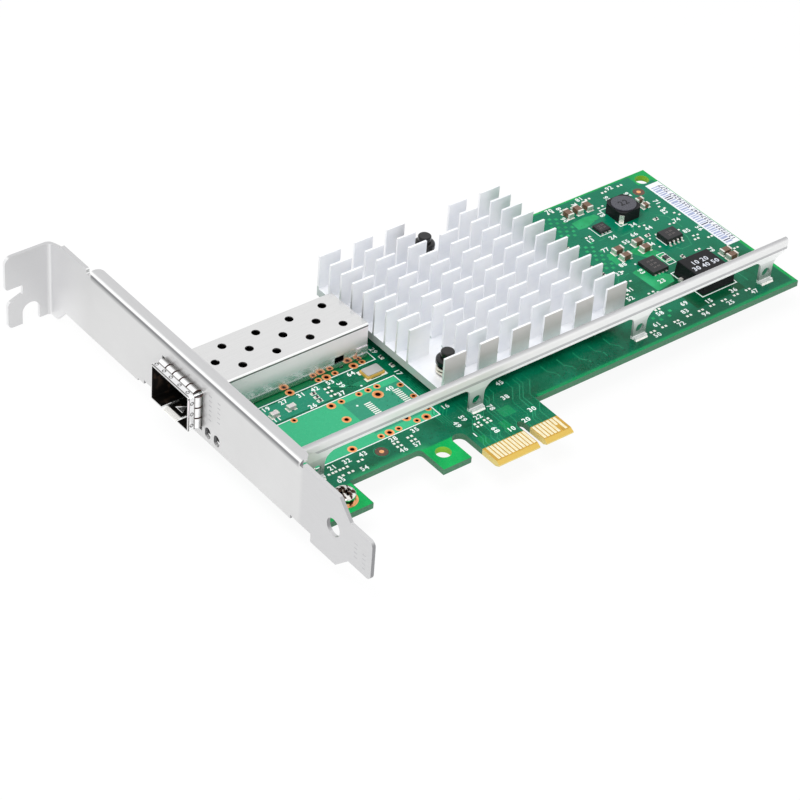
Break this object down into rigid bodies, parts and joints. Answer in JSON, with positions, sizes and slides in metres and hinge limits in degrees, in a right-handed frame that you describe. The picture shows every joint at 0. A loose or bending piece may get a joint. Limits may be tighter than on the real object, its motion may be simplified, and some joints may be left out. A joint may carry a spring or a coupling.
{
  "type": "network interface card",
  "caption": "Plug-in network card with an optical port cage on a full-height slot bracket, a finned heat sink and a stiffener bar.",
  "frame": {"origin": "middle of the key notch, level with the contact tips, on the component face of the board", "axes": "+X along the board from the slot bracket to the far end, +Y from the contact tips to the top edge of the board, +Z out of the component face"},
  "size_m": [0.1612, 0.1224, 0.0218],
  "materials": {
    "solder_mask": "glossy green solder mask on glass laminate",
    "contact_gold": "polished gold plating",
    "bracket_steel": "satin plated steel sheet",
    "cage_steel": "bright plated steel sheet",
    "spring_sheet": "bright spring sheet",
    "screw_steel": "polished nickel plating",
    "sink_aluminium": "clear anodised",
    "pin_plastic": "glossy black nylon",
    "spring_steel": "plain spring wire",
    "black_mould": "fine matt moulding",
    "core_ferrite": "ground ferrite",
    "tin": "bright tin",
    "copper": "bare copper",
    "capacitor_ceramic": "fired ceramic",
    "resistor_ceramic": "black glaze",
    "crystal_ceramic": "ceramic with a gold rim",
    "lid_metal": "satin lid",
    "label_film": "white film",
    "lamp_lens": "clear lens",
    "soft_pad": "soft grey pad"
  },
  "bodies": {
    "root": {"board": "solder_mask", "edge_contacts_front": "contact_gold", "edge_contacts_back": "contact_gold", "slot_bracket": "bracket_steel", "bracket_screws": "screw_steel", "port_cage": "cage_steel", "cage_spring_collar": "spring_sheet", "host_connector": "black_mould", "host_contacts": "contact_gold", "port_lights": "lamp_lens", "controller_chip": "black_mould", "thermal_pad": "soft_pad", "heat_sink": "sink_aluminium", "push_pins": "pin_plastic", "pin_springs": "spring_steel", "stiffener_bar": "bracket_steel", "leg_solder": "tin", "power_inductor": "black_mould", "inductor_core": "core_ferrite", "inductor_terminals": "tin", "power_module": "black_mould", "power_module_pins": "tin", "memory_chip": "black_mould", "memory_chip_leads": "tin", "regulator_chip": "black_mould", "regulator_chip_pads": "tin", "power_chip": "black_mould", "power_chip_leads": "tin", "crystal_base": "crystal_ceramic", "crystal_lid": "lid_metal", "capacitor_bodies": "capacitor_ceramic", "capacitor_ends": "tin", "resistor_bodies": "resistor_ceramic", "resistor_ends": "tin", "solder_pads": "tin", "via_rings": "copper", "fiducial_dots": "copper", "bar_label": "label_film"}
  },
  "joints": []
}
